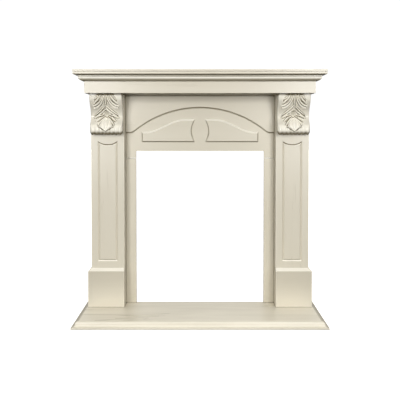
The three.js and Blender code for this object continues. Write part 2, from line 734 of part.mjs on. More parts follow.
addPiece(mantelpiece, "hearth", hearth());
addSide("left", -1);
addSide("right", 1);
addPiece(mantelpiece, "header_panel", headerPanel());
addPiece(
  mantelpiece,
  "soffit",
  board(
    FRIEZE_BOARD - FRIEZE_HALF_WIDTH,
    FRIEZE_HALF_WIDTH - FRIEZE_BOARD,
    FRIEZE_FRONT + FRIEZE_BOARD,
    WALL,
    PILASTER_TOP,
    PILASTER_TOP + SOFFIT_BOARD,
  ),
);
addPiece(
  mantelpiece,
  "frieze_front",
  board(
    -FRIEZE_HALF_WIDTH,
    FRIEZE_HALF_WIDTH,
    FRIEZE_FRONT,
    FRIEZE_FRONT + FRIEZE_BOARD,
    PILASTER_TOP,
    FRIEZE_TOP,
  ),
);
addPiece(mantelpiece, "bed_moulding_front", bedMouldingFront());
addPiece(mantelpiece, "mantel_shelf", mantelShelf());

export default mantelpiece;
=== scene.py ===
"""Looks of the fireplace mantelpiece: painted finish, softened edges, carved corbels, studio and camera."""

import math

import bpy
import numpy as np
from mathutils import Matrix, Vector


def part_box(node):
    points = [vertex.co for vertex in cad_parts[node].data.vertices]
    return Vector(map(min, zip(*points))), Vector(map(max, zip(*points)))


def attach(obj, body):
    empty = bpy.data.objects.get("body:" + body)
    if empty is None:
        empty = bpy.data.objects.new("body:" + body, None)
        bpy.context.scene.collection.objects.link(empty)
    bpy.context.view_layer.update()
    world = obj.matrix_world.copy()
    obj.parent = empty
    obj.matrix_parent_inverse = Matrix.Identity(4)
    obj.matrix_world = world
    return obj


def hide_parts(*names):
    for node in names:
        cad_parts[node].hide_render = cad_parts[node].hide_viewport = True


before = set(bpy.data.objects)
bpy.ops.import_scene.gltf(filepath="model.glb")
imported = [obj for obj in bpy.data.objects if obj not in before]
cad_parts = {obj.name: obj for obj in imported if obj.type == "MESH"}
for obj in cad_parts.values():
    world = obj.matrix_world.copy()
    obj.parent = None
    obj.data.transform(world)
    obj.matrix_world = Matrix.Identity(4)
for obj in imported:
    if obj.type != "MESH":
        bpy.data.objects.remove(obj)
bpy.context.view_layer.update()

MM = 0.001
WHITE = (1, 1, 1, 1)

# Plain form of a corbel in millimetres, as in the solids
CORBEL_HALF_WIDTH = 63.5
CORBEL_HEIGHT = 163.0
CORBEL_TOP_OUT = 56.0
CORBEL_TOP_PULL = 0.5
CORBEL_WAIST_OUT = 15.0
CORBEL_WAIST_DROP = 90.0
CORBEL_WAIST_PULL = 0.38
CORBEL_ROLL_RADIUS = 22.0
CORBEL_ROLL_OUT = 46.0

# Grid of the carved front, its rounded side edges, and the angle above which the shading has an edge
CORBEL_ROWS = 250
CORBEL_COLUMNS = 170
CORBEL_ARRIS = 2.0
CORBEL_FOOT_ARRIS = 7.0
CORBEL_SHARP_ANGLE = math.radians(50)

# Acanthus leaf in millimetres. A rib runs from its root to its tip, both as (across, down). The first and last
# rib of each tier are stated. A rib's bend is a share of the way across and so far down from its tip.
LEAF_TIERS = (
    {
        "ribs": 2,
        "roots": ((20, -8), (14, -8)),
        "tips": ((41, 21), (45, 34)),
        "bend": (0.3, -12),
        "widths": (6, 7),
    },
    {
        "ribs": 2,
        "roots": ((9, -8), (4, -8)),
        "tips": ((51, 45), (47, 53)),
        "bend": (0.11, -5),
        "widths": (6.2, 8.4),
    },
    {
        "ribs": 2,
        "roots": ((0, 42), (0, 56)),
        "tips": ((47, 84), (48, 95)),
        "bend": (0.34, -24),
        "widths": (5, 7.6),
    },
    {
        "ribs": 3,
        "roots": ((12, 82), (4, 92)),
        "tips": ((46, 98), (31, 125)),
        "bend": (0.6, -14),
        "widths": (7.4, 8.4),
    },
)

# A rib is narrow at both ends, swells towards its tip and stands highest there. It stands on a low plate,
# with a groove along either side. The skirt and the groove are placed by shares of the rib's half width.
RIB_STEPS = 24
RIB_RISE = 6.6
RIB_END_WIDTH = 0.55
RIB_SWELL = 0.5
RIB_SWELL_POWER = 1.5
RIB_ROOT_RISE = 0.6
RIB_TIP_GAIN = 0.5
LEAF_PLATE = 3.2
LEAF_SKIRT = (1.7, 2.6)
GROOVE_PLACE = 1.3
GROOVE_HALF_WIDTH = 0.6
GROOVE_DEPTH = 3.2

# The leaf's stem, and the pointed lobe at its foot, with a rim and a drop-shaped boss
STEM_LENGTH = 46.0
STEM_TOP_HALF_WIDTH = 4.2
STEM_FOOT_HALF_WIDTH = 2.6
LOBE_TOP = 98.0
LOBE_SHOULDER = 131.0
LOBE_TIP = 147.0
LOBE_HALF_WIDTH = 26.0
LOBE_RISE = 6.6
LOBE_SLOPE = 2.4
LOBE_RIM = 3.4
LOBE_RIM_HALF_WIDTH = 2.8
LOBE_RIM_RISE = 3.4
BOSS_DROP = 123.0
BOSS_RADII = (8.0, 18.0)
BOSS_RISE = 5.4

# The leaf's sunk heart, its drilled eyes as (across, down), and the flutes of the roll
HEART_DROP = 80.0
HEART_RADII = (13.0, 20.0)
HEART_DEPTH = 5.0
EYES = ((43.0, 26.5), (27.0, 90.0))
EYE_RADIUS = 3.0
EYE_DEPTH = 4.0
ROLL_FLUTE_PITCH = 16.5
ROLL_FLUTE_CREST = 55.0
ROLL_FLUTE_DEPTH = 3.4
ROLL_START = (116.0, 136.0)
CARVING_SOFTNESS = 0.6
BLUR_REACH = 3

# Painted shade darkens the hollows of the carving and a painted highlight lightens its ridges. The painted
# shade is lighter near the top, below a painted shadow line there, and it is also painted on the bare ground,
# in the heart, under the roll and on the side towards the opening.
SHADING_SPREAD = 2.4
SHADING_HOLLOW_SCALE = 2.0
SHADING_RIDGE_SCALE = 1.8
PAINTED_SHADOW_TOP = (5.0, 9.0)
SHADE_LIGHTER_DROPS = (14.0, 34.0)
SHADE_TOP_SHARE = 0.5
SHADE_UNDER_ROLL = (0.1, 0.85)
SHADE_HEART = 0.2
SHADE_GROUND = 0.4
SHADE_INNER_SIDE = 0.85


def smoothstep(value, low, high):
    share = np.clip((value - low) / (high - low), 0, 1)
    return share * share * (3 - 2 * share)


def bead(distance, half_width):
    """A rounded ridge: 1 along its middle and 0 from its half width on."""
    return np.clip(1 - (distance / half_width) ** 2, 0, None)


def between(pair, share):
    return np.array(pair[0], float) * (1 - share) + np.array(pair[1], float) * share


def bezier(controls, steps):
    """Points of a Bezier curve with any number of controls."""
    t = np.linspace(0, 1, steps + 1)[:, None]
    points = [np.array(control, float) + 0 * t for control in controls]
    while len(points) > 1:
        points = [(1 - t) * a + t * b for a, b in zip(points, points[1:])]
    return points[0]


def corbel_profile():
    """Evenly spaced points (out, drop) down the corbel's plain front, and the direction it faces at each."""
    roll_drop = CORBEL_HEIGHT - CORBEL_ROLL_RADIUS
    roll_centre = CORBEL_ROLL_OUT - CORBEL_ROLL_RADIUS
    join = CORBEL_ROLL_RADIUS * math.sqrt(0.5)
    join_out = roll_centre + join
    join_drop = roll_drop - join
    swan_neck = bezier(
        [
            (CORBEL_TOP_OUT, 0),
            (CORBEL_TOP_OUT, CORBEL_TOP_PULL * CORBEL_WAIST_DROP),
            (CORBEL_WAIST_OUT, (1 - CORBEL_WAIST_PULL) * CORBEL_WAIST_DROP),
            (CORBEL_WAIST_OUT, CORBEL_WAIST_DROP),
        ],
        CORBEL_ROWS,
    )
    hollow = bezier(
        [
            (CORBEL_WAIST_OUT, CORBEL_WAIST_DROP),
            (CORBEL_WAIST_OUT, join_drop - (join_out - CORBEL_WAIST_OUT)),
            (join_out, join_drop),
        ],
        CORBEL_ROWS,
    )
    angle = np.linspace(-math.pi / 4, math.pi / 2, CORBEL_ROWS + 1)
    roll_out = roll_centre + CORBEL_ROLL_RADIUS * np.cos(angle)
    roll = np.stack([roll_out, roll_drop + CORBEL_ROLL_RADIUS * np.sin(angle)], axis=1)
    line = np.concatenate([swan_neck, hollow[1:], roll[1:]])
    length = np.concatenate([[0], np.cumsum(np.hypot(*np.diff(line, axis=0).T))])
    spaced = np.linspace(0, length[-1], CORBEL_ROWS + 1)
    points = np.stack([np.interp(spaced, length, line[:, axis]) for axis in (0, 1)], axis=1)
    along = np.gradient(points, axis=0)
    along /= np.linalg.norm(along, axis=1)[:, None]
    return points, np.stack([along[:, 1], -along[:, 0]], axis=1)


def distance_to_line(across, down, points):
    """Distance from every grid point to a broken line, and the share of its length where it is nearest."""
    nearest = np.full(across.shape, np.inf)
    along = np.zeros(across.shape)
    steps = len(points) - 1
    for i in range(steps):
        start = points[i]
        edge = points[i + 1] - start
        share = ((across - start[0]) * edge[0] + (down - start[1]) * edge[1]) / (edge @ edge)
        share = np.clip(share, 0, 1)
        distance = np.hypot(across - start[0] - share * edge[0], down - start[1] - share * edge[1])
        closer = distance < nearest
        nearest = np.where(closer, distance, nearest)
        along = np.where(closer, (i + share) / steps, along)
    return nearest, along


def leaf_ribs():
    """The line and the half width of each rib in the leaf's right half."""
    for tier in LEAF_TIERS:
        for i in range(tier["ribs"]):
            share = i / (tier["ribs"] - 1)
            root = between(tier["roots"], share)
            tip = between(tier["tips"], share)
            bend = (root[0] + tier["bend"][0] * (tip[0] - root[0]), tip[1] + tier["bend"][1])
            yield bezier([root, bend, tip], RIB_STEPS), between(tier["widths"], share) / 2


def rib_heights(across, down):
    """Height of the stem and the ribs with their plate and grooves, and the share of bare ground round them.

    Where ribs crowd, the nearest one counts.
    """
    share = np.clip(down / STEM_LENGTH, 0, 1)
    stem_half_width = STEM_TOP_HALF_WIDTH + (STEM_FOOT_HALF_WIDTH - STEM_TOP_HALF_WIDTH) * share
    nearest = np.hypot(across, np.clip(down - STEM_LENGTH, 0, None)) / stem_half_width
    rise = np.full(across.shape, RIB_RISE)
    for line, half_width in leaf_ribs():
        distance, along = distance_to_line(across, down, line)
        swell = RIB_END_WIDTH + RIB_SWELL * np.sin(np.pi * along**RIB_SWELL_POWER)
        relative = distance / (half_width * swell)
        closer = relative < nearest
        nearest = np.where(closer, relative, nearest)
        rise = np.where(closer, RIB_RISE * (RIB_ROOT_RISE + RIB_TIP_GAIN * along), rise)
    ground = smoothstep(nearest, *LEAF_SKIRT)
    groove = GROOVE_DEPTH * bead(nearest - GROOVE_PLACE, GROOVE_HALF_WIDTH)
    return LEAF_PLATE * (1 - ground) + rise * bead(nearest, 1) - groove, ground


def heart_share(across, down):
    return bead(np.hypot(across / HEART_RADII[0], (down - HEART_DROP) / HEART_RADII[1]), 1)


def sunk_depth(across, down):
    """Depth of the drilled eyes where the leaf curls, and of its sunk heart."""
    pits = [bead(np.hypot(across - x, down - drop), EYE_RADIUS) for x, drop in EYES]
    return EYE_DEPTH * np.maximum.reduce(pits) + HEART_DEPTH * heart_share(across, down)


def lobe_height(across, down):
    """Height of the lobe with its rim and boss, and the share of it in place at each point."""
    above = np.clip((down - LOBE_TOP) / (LOBE_SHOULDER - LOBE_TOP), 0, 1)
    below = (LOBE_TIP - down) / (LOBE_TIP - LOBE_SHOULDER)
    half_width = LOBE_HALF_WIDTH * np.minimum(np.sqrt(above), below)
    inside = smoothstep(half_width - across, -LOBE_SLOPE, 0)
    inside *= smoothstep(down, LOBE_TOP - LOBE_SLOPE, LOBE_TOP)
    rim = LOBE_RIM_RISE * bead(half_width - across - LOBE_RIM, LOBE_RIM_HALF_WIDTH)
    boss = BOSS_RISE * bead(np.hypot(across / BOSS_RADII[0], (down - BOSS_DROP) / BOSS_RADII[1]), 1)
    return LOBE_RISE + rim + boss, inside


def soften(height, pitches, softness):
    """Blurs a height grid. The pitches are the distances between its rows and between its columns."""
    for axis, pitch in enumerate(pitches):
        reach = max(1, math.ceil(BLUR_REACH * softness / pitch))
        weights = np.exp(-0.5 * (np.arange(-reach, reach + 1) * pitch / softness) ** 2)
        weights /= weights.sum()
        height = np.apply_along_axis(
            lambda line: np.convolve(np.pad(line, reach, mode="edge"), weights, mode="valid"), axis, height
        )
    return height


def carved_front():
    """The carved front of a corbel as a grid of (across, out, drop) in millimetres, and its painted shading.

    The painted shading is 1 (painted shade) in a deep hollow, 0 on a plain face and -1 (painted highlight) on
    a sharp ridge.
    """
    profile, facing = corbel_profile()
    columns = np.linspace(-CORBEL_HALF_WIDTH, CORBEL_HALF_WIDTH, CORBEL_COLUMNS + 1)
    x, down = np.meshgrid(columns, profile[:, 1])
    across = np.abs(x)
    lobe, inside = lobe_height(across, down)
    ribs, ground = rib_heights(across, down)
    height = ribs - sunk_depth(across, down)
    height += (lobe - height) * inside
    on_roll = smoothstep(down, *ROLL_START)
    flute = 0.5 - 0.5 * np.cos(2 * np.pi * (across - ROLL_FLUTE_CREST) / ROLL_FLUTE_PITCH)
    height -= ROLL_FLUTE_DEPTH * flute * on_roll * (1 - inside)
    pitches = (np.hypot(*np.diff(profile, axis=0).T).mean(), columns[1] - columns[0])
    height = soften(height, pitches, CARVING_SOFTNESS)

    # Painted shade in the hollows and painted highlight on the ridges
    hollow = soften(height, pitches, SHADING_SPREAD) - height
    painted_shading = np.clip(hollow / SHADING_HOLLOW_SCALE, 0, 1) - np.clip(-hollow / SHADING_RIDGE_SCALE, 0, 1)
    # Painted shade on the bare ground around the leaf
    painted_shading = np.maximum(painted_shading, SHADE_GROUND * ground * (1 - inside) * (1 - on_roll))
    # The painted shade is made lighter near the top
    shade_share = SHADE_TOP_SHARE + (1 - SHADE_TOP_SHARE) * smoothstep(down, *SHADE_LIGHTER_DROPS)
    painted_shading = np.where(painted_shading > 0, painted_shading * shade_share, painted_shading)
    # Painted shadow along the top of the corbel, under the frieze
    painted_shading = np.maximum(painted_shading, 1 - smoothstep(down, *PAINTED_SHADOW_TOP))
    # Painted shade in the sunk heart
    painted_shading += SHADE_HEART * heart_share(across, down)
    # Painted shade under the roll where it faces down
    roll_under = smoothstep(facing[:, 1:], *SHADE_UNDER_ROLL) * (profile[:, 1:] > CORBEL_WAIST_DROP)
    painted_shading = np.maximum(painted_shading, roll_under)

    arris = CORBEL_ARRIS + (CORBEL_FOOT_ARRIS - CORBEL_ARRIS) * on_roll
    past = np.clip(across - (CORBEL_HALF_WIDTH - arris), 0, arris)
    height -= arris - np.sqrt(arris**2 - past**2)
    out = profile[:, :1] + facing[:, :1] * height
    drop = profile[:, 1:] + facing[:, 1:] * height
    drop[0] = 0
    return np.stack([x, out, np.maximum(drop, 0)], axis=-1), painted_shading


def make_corbel(side, carved, painted_shading, material):
    """A closed corbel with a carved front, in the place of its CAD node."""
    low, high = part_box("corbel_" + side)
    grid = carved * MM
    rows, columns = painted_shading.shape
    middle = (low.x + high.x) / 2
    front = np.stack([middle + grid[..., 0], high.y - grid[..., 1], high.z - grid[..., 2]], axis=-1)
    half = CORBEL_HALF_WIDTH * MM
    backs = [
        np.stack([np.full(rows, middle + x), np.full(rows, high.y), front[:, edge, 2]], axis=-1)
        for x, edge in ((-half, 0), (half, columns - 1))
    ]
    vertices = np.concatenate([front.reshape(-1, 3), *backs])
    at = np.arange(rows * columns).reshape(rows, columns)
    left = rows * columns + np.arange(rows)
    right = left + rows
    faces = np.stack([at[:-1, :-1], at[1:, :-1], at[1:, 1:], at[:-1, 1:]], axis=-1).reshape(-1, 4).tolist()
    faces += np.stack([at[:-1, 0], left[:-1], left[1:], at[1:, 0]], axis=-1).tolist()
    faces += np.stack([at[:-1, -1], at[1:, -1], right[1:], right[:-1]], axis=-1).tolist()
    faces += np.stack([left[:-1], right[:-1], right[1:], left[1:]], axis=-1).tolist()
    faces.append([*at[0].tolist(), int(right[0]), int(left[0])])
    faces.append([*at[-1][::-1].tolist(), int(left[-1]), int(right[-1])])
    mesh = bpy.data.meshes.new("carved_corbel_" + side)
    mesh.from_pydata(vertices.tolist(), [], faces)
    mesh.shade_smooth()
    mesh.set_sharp_from_angle(angle=CORBEL_SHARP_ANGLE)
    mesh.materials.append(material)
    # Painted shade on the corbel's side towards the opening
    side_shade = np.repeat([SHADE_INNER_SIDE * (side == other) for other in ("right", "left")], rows)
    # The painted shading is stored on the mesh for the carving's paint
    painted_shading_attribute = mesh.attributes.new("painted_shading", "FLOAT", "POINT")
    painted_shading_attribute.data.foreach_set("value", np.concatenate([painted_shading.ravel(), side_shade]).astype(np.float32))
    corbel = bpy.data.objects.new("carved_corbel_" + side, mesh)
    bpy.context.scene.collection.objects.link(corbel)
    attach(corbel, "root")
    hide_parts("corbel_" + side)


# Ivory paint in linear colour, each as (dark, light), and the tints of its painted shade and painted
# highlights
PAINT_TONES = ((0.672, 0.622, 0.504, 1), (0.692, 0.644, 0.526, 1))
# The hearth's tones are lighter than the paint, as painted light on its top, and further apart for its
# stronger grain figure
BRIGHTER_HEARTH_TONES = ((0.675, 0.623, 0.5, 1), (0.775, 0.723, 0.595, 1))
# The carving's tones are a much lighter copy of the paint, as painted light
BRIGHTER_CARVING_TONES = ((0.925, 0.88, 0.76, 1), (0.94, 0.9, 0.785, 1))
SHADE_TINT = (0.134, 0.105, 0.045, 1)
HIGHLIGHT_TINT = (0.97, 0.93, 0.815, 1)

# Painted shade on the boards under ledges, in narrow corners and on undersides. Ledges are found with the
# surface's own direction turned upward by the tilt. Surfaces that face up get no painted shade under ledges.
# Reaches are in metres.
SHELTER_SAMPLES = 12
LEDGE_TILT = 1.2
LEDGE_REACH = 0.003
RECESS_LEDGE_REACH = 0.009
LEDGE_RANGE = (0.2, 0.75)
LEDGE_DARKNESS = 0.85
CORNER_REACH = 0.006
HEADER_CORNER_REACH = 0.010
CORNER_RANGE = (0.5, 0.85)
CORNER_DARKNESS = 0.7
PANEL_CORNER_DARKNESS = 0.1
UP_FACING_RANGE = (0.1, 0.5)
UNDERSIDE_RANGE = (-0.8, -0.4)
UNDERSIDE_DARKNESS = 0.7

# Painted highlights on edges and on slopes that face up and forward, but not on level tops
EDGE_SAMPLES = 8
EDGE_REACH = 0.005
EDGE_RANGE = (0.35, 0.8)
EDGE_HIGHLIGHT = 0.6
RECESS_EDGE_HIGHLIGHT = 0.25
BED_EDGE_HIGHLIGHT = 0.2
SLOPE_RANGE = (0.2, 0.55)
FRONT_RANGE = (-0.6, -0.25)
SLOPE_HIGHLIGHT = 1.0
HEARTH_SLOPE_HIGHLIGHT = 0.1
PLINTH_SLOPE_HIGHLIGHT = 0.5

# Painted shade in the routed line of a pilaster's front where it faces down, and how much of it is left at the
# foot
PANEL_UNDER_RANGE = (-0.5, -0.15)
PANEL_UNDER_DARKNESS = 0.92
PANEL_UNDER_HEIGHTS = (0.3, 0.6)
PANEL_UNDER_FOOT_SHARE = 0.25

# Painted shade on the ends of the header's raised ornament
ORNAMENT_END_RANGE = (0.35, 0.75)
ORNAMENT_END_DARKNESS = 0.5

# Painted shade on the plinths below their shoulder, up the inner sides of the pilasters beside the header and
# at the foot of the jambs
PLINTH_SHADE_HEIGHTS = (0.06, 0.14)
PLINTH_SHADE_DARKNESS = 0.17
INNER_SHADE_HEIGHTS = (0.70, 0.76)
INNER_SHADE_DARKNESS = 0.65
JAMB_SHADE_HEIGHTS = (0.05, 0.16)
JAMB_SHADE_DARKNESS = 0.2

# Painted highlight on the crown of the bed moulding's ovolo, between its foot and its top, and painted shadow
# on the fillet over it
BED_CROWN_FOOT = (0.936, 0.9405)
BED_CROWN_TOP = (0.9438, 0.9446)
BED_CROWN_HIGHLIGHT = 1.0
BED_FILLET = (0.9446, 0.9456)
BED_FILLET_DARKNESS = 0.42

# Painted shade along the ends of the hearth, by the distance aside from the middle. It stops at the mitre,
# which is found by that distance plus the way back.
HEARTH_END = (0.4535, 0.456)
HEARTH_END_DARKNESS = 0.52
HEARTH_MITRE = (0.279, 0.284)

# Painted shade and painted highlight of the carving, by the painted shading stored on its mesh
HOLLOW_RANGE = (0.22, 0.95)
HOLLOW_DARKNESS = 0.9
RIDGE_RANGE = (-0.6, 0.35)
RIDGE_HIGHLIGHT = 1.0

# Grain of the boards: broad figure and fine fibres, each with its scales per metre across and along the
# grain, the fibres' share in the tone, and the tones between which the colour and the gloss change
FIGURE_SCALES = (16.0, 2.2)
FIGURE = {"Scale": 1.0, "Detail": 3.0, "Distortion": 0.5}
FIBRE_SCALES = (95.0, 5.0)
FIBRES = {"Scale": 1.0, "Detail": 5.0, "Roughness": 0.62, "Distortion": 0.2}
FIBRE_SHARE = 0.28
HEARTH_FIBRE_SHARE = 0.12
COLOUR_TONES = (0.36, 0.62)
GLOSS_TONES = (0.3, 0.7)
BOARD_GLOSS = (0.26, 0.34)
CARVING_GLOSS = (0.16, 0.24)

# Relief of the grain and of the paint's fine skin, as (strength, distance)
GRAIN_BUMP = (0.08, 0.0006)
SKIN = {"Scale": 420.0, "Detail": 2.0}
SKIN_BUMP = (0.08, 0.0002)

# Places of the colour sockets of a Mix node
MIX_FIRST = 6
MIX_SECOND = 7
MIX_RESULT = 2


def map_range(tree, value, given, result):
    """A value mapped from one range of numbers to another, and kept inside it."""
    node = tree.nodes.new("ShaderNodeMapRange")
    node.inputs["From Min"].default_value, node.inputs["From Max"].default_value = given
    node.inputs["To Min"].default_value, node.inputs["To Max"].default_value = result
    tree.links.new(value, node.inputs["Value"])
    return node.outputs["Result"]


def calculated(tree, operation, *values):
    node = tree.nodes.new("ShaderNodeMath")
    node.operation = operation
    for value, socket in zip(values, node.inputs):
        tree.links.new(value, socket)
    return node.outputs["Value"]


def parts_of(tree, vector):
    """The outputs X, Y and Z of a vector."""
    node = tree.nodes.new("ShaderNodeSeparateXYZ")
    tree.links.new(vector, node.inputs["Vector"])
    return node.outputs


def direction_of(tree):
    """The direction that a point of the surface faces, as X, Y and Z."""
    return parts_of(tree, tree.nodes.new("ShaderNodeNewGeometry").outputs["Normal"])


def place_of(tree):
    """The place of a point of the surface in metres, as X, Y and Z."""
    return parts_of(tree, tree.nodes.new("ShaderNodeTexCoord").outputs["Object"])


def shelter(tree, reach, direction=None):
    """How open a point is to its surroundings within a reach: 0 in a deep corner, 1 on a plain face."""
    node = tree.nodes.new("ShaderNodeAmbientOcclusion")
    node.samples = SHELTER_SAMPLES
    node.inputs["Distance"].default_value = reach
    if direction:
        tree.links.new(direction, node.inputs["Normal"])
    return node.outputs["AO"]


def thickness(tree):
    """How much of the board there is behind a point: lower near an edge, 1 on a plain face."""
    node = tree.nodes.new("ShaderNodeAmbientOcclusion")
    node.samples = EDGE_SAMPLES
    node.inside = True
    node.only_local = True
    node.inputs["Distance"].default_value = EDGE_REACH
    return node.outputs["AO"]


def board_painted_light(
    tree,
    ledge_reach=LEDGE_REACH,
    corner_reach=CORNER_REACH,
    corner_darkness=CORNER_DARKNESS,
    edge_highlight=EDGE_HIGHLIGHT,
    slope_highlight=SLOPE_HIGHLIGHT,
):
    """How dark with painted shade a point of a board is, and how pale with painted highlight."""
    normal = tree.nodes.new("ShaderNodeNewGeometry").outputs["Normal"]
    faces = parts_of(tree, normal)
    # Painted shade under ledges, but not on surfaces that face up
    tilted = tree.nodes.new("ShaderNodeVectorMath")
    tilted.inputs[1].default_value = (0, 0, LEDGE_TILT)
    tree.links.new(normal, tilted.inputs[0])
    below_ledge = shelter(tree, ledge_reach, tilted.outputs["Vector"])
    ledge = map_range(tree, below_ledge, LEDGE_RANGE, (LEDGE_DARKNESS, 0))
    ledge = calculated(tree, "MULTIPLY", ledge, map_range(tree, faces["Z"], UP_FACING_RANGE, (1, 0)))
    # Painted shade in narrow corners
    open_to = shelter(tree, corner_reach)
    corner = map_range(tree, open_to, CORNER_RANGE, (corner_darkness, 0))
    # Painted shade on undersides
    under = map_range(tree, faces["Z"], UNDERSIDE_RANGE, (UNDERSIDE_DARKNESS, 0))
    painted_shade = calculated(tree, "MAXIMUM", ledge, calculated(tree, "MAXIMUM", corner, under))

    # Painted highlights on edges away from corners, and on slopes that face up and forward
    edge = map_range(tree, thickness(tree), EDGE_RANGE, (edge_highlight, 0))
    edge = calculated(tree, "MULTIPLY", edge, map_range(tree, open_to, CORNER_RANGE, (0, 1)))
    slope = map_range(tree, faces["Z"], SLOPE_RANGE, (0, slope_highlight))
    slope = calculated(tree, "MULTIPLY", slope, map_range(tree, faces["Y"], FRONT_RANGE, (1, 0)))
    return painted_shade, calculated(tree, "MAXIMUM", edge, slope)


def recess_painted_light(tree, corner_reach=CORNER_REACH):
    """Painted light of a board that stands back: painted shade further under its ledges, and less painted
    highlight on its edges.
    """
    # More painted shade under ledges and less painted highlight on edges
    return board_painted_light(tree, RECESS_LEDGE_REACH, corner_reach, edge_highlight=RECESS_EDGE_HIGHLIGHT)


def with_more_shade(tree, painted_light, extra_shade):
    """A board's painted shade and highlight, with more painted shade on it."""
    painted_shade, painted_highlight = painted_light
    return calculated(tree, "MAXIMUM", painted_shade, extra_shade), painted_highlight


def panel_painted_light(tree):
    """Painted shade and highlight of a pilaster's front, with painted shade in its routed line where that
    faces down, mostly at the top.
    """
    # Painted shade in the routed line where it faces down
    under = map_range(tree, direction_of(tree)["Z"], PANEL_UNDER_RANGE, (PANEL_UNDER_DARKNESS, 0))
    high_up = map_range(tree, place_of(tree)["Z"], PANEL_UNDER_HEIGHTS, (PANEL_UNDER_FOOT_SHARE, 1))
    painted_light = board_painted_light(tree, corner_darkness=PANEL_CORNER_DARKNESS)
    return with_more_shade(tree, painted_light, calculated(tree, "MULTIPLY", under, high_up))


def header_painted_light(tree):
    """Painted shade and highlight of a recessed board, with painted shade on the ends of its raised ornament.
    """
    # Painted shade on the ends of the raised ornament, where they face sideways
    aside = calculated(tree, "ABSOLUTE", direction_of(tree)["X"])
    end = map_range(tree, aside, ORNAMENT_END_RANGE, (0, ORNAMENT_END_DARKNESS))
    return with_more_shade(tree, recess_painted_light(tree, HEADER_CORNER_REACH), end)


def hearth_painted_light(tree):
    """Painted shade and highlight of a board, with painted shade along the mouldings of the two ends as far as
    the mitres at the front.
    """
    place = place_of(tree)
    aside = calculated(tree, "ABSOLUTE", place["X"])
    # Painted shade on the end mouldings, stopped at the front mitres
    end = map_range(tree, aside, HEARTH_END, (0, HEARTH_END_DARKNESS))
    past_mitre = map_range(tree, calculated(tree, "ADD", aside, place["Y"]), HEARTH_MITRE, (0, 1))
    painted_light = board_painted_light(tree, slope_highlight=HEARTH_SLOPE_HIGHLIGHT)
    return with_more_shade(tree, painted_light, calculated(tree, "MULTIPLY", end, past_mitre))


def plinth_painted_light(tree):
    """Painted shade and highlight of a board, with a thin painted shade that fades down from the plinth's
    shoulder.
    """
    # Painted shade fading down from the plinth's shoulder
    extra_shade = map_range(tree, place_of(tree)["Z"], PLINTH_SHADE_HEIGHTS, (0, PLINTH_SHADE_DARKNESS))
    return with_more_shade(tree, board_painted_light(tree, slope_highlight=PLINTH_SLOPE_HIGHLIGHT), extra_shade)


def inner_painted_light(tree):
    """Painted shade and highlight of a recessed board, with more painted shade up beside the header."""
    # Painted shade up beside the header
    extra_shade = map_range(tree, place_of(tree)["Z"], INNER_SHADE_HEIGHTS, (0, INNER_SHADE_DARKNESS))
    return with_more_shade(tree, recess_painted_light(tree), extra_shade)


def jamb_painted_light(tree):
    """Painted shade and highlight of a recessed board, with a painted shade that fades up from its foot."""
    # Painted shade fading up from the foot
    extra_shade = map_range(tree, place_of(tree)["Z"], JAMB_SHADE_HEIGHTS, (JAMB_SHADE_DARKNESS, 0))
    return with_more_shade(tree, recess_painted_light(tree), extra_shade)


def bed_painted_light(tree):
    """Painted shade and highlight of a board, with a painted highlight on the crown of the ovolo and painted
    shadow on the fillet over it.
    """
    height = place_of(tree)["Z"]
    # Painted shadow on the fillet under the shelf
    fillet = map_range(tree, height, BED_FILLET, (0, BED_FILLET_DARKNESS))
    painted_shade, painted_highlight = with_more_shade(tree, board_painted_light(tree, edge_highlight=BED_EDGE_HIGHLIGHT), fillet)
    # Painted highlight on the crown of the ovolo
    crown = map_range(tree, height, BED_CROWN_FOOT, (0, BED_CROWN_HIGHLIGHT))
    crown = calculated(tree, "MULTIPLY", crown, map_range(tree, height, BED_CROWN_TOP, (1, 0)))
    return painted_shade, calculated(tree, "MAXIMUM", painted_highlight, crown)


def carving_painted_light(tree):
    """How dark with painted shade a point of the carving is, and how pale with painted highlight on a ridge,
    from the carved mesh.
    """
    painted_shading = tree.nodes.new("ShaderNodeAttribute")
    painted_shading.attribute_name = "painted_shading"
    # Painted shade in the hollows, painted highlight on the ridges
    painted_shade = map_range(tree, painted_shading.outputs["Fac"], HOLLOW_RANGE, (0, HOLLOW_DARKNESS))
    return painted_shade, map_range(tree, painted_shading.outputs["Fac"], RIDGE_RANGE, (RIDGE_HIGHLIGHT, 0))


def noise(tree, place, settings):
    node = tree.nodes.new("ShaderNodeTexNoise")
    for name, value in settings.items():
        node.inputs[name].default_value = value
    tree.links.new(place, node.inputs["Vector"])
    return node.outputs["Fac"]


def streaks(tree, place, grain, scales, settings):
    """Noise drawn out along the grain. The scales are those across it and along it."""
    stretch = tree.nodes.new("ShaderNodeMapping")
    stretch.inputs["Scale"].default_value = [scales[axis == grain] for axis in range(3)]
    tree.links.new(place, stretch.inputs["Vector"])
    return noise(tree, stretch.outputs["Vector"], settings)


def tinted(tree, share, colour, tint):
    """A colour mixed with a share of a tint."""
    node = tree.nodes.new("ShaderNodeMix")
    node.data_type = "RGBA"
    node.inputs[MIX_SECOND].default_value = tint
    tree.links.new(share, node.inputs["Factor"])
    tree.links.new(colour, node.inputs[MIX_FIRST])
    return node.outputs[MIX_RESULT]


def bumped(tree, height, bump, normal=None):
    """A surface direction with a fine relief, over that of another relief if there is one."""
    node = tree.nodes.new("ShaderNodeBump")
    node.inputs["Strength"].default_value, node.inputs["Distance"].default_value = bump
    tree.links.new(height, node.inputs["Height"])
    if normal:
        tree.links.new(normal, node.inputs["Normal"])
    return node.outputs["Normal"]


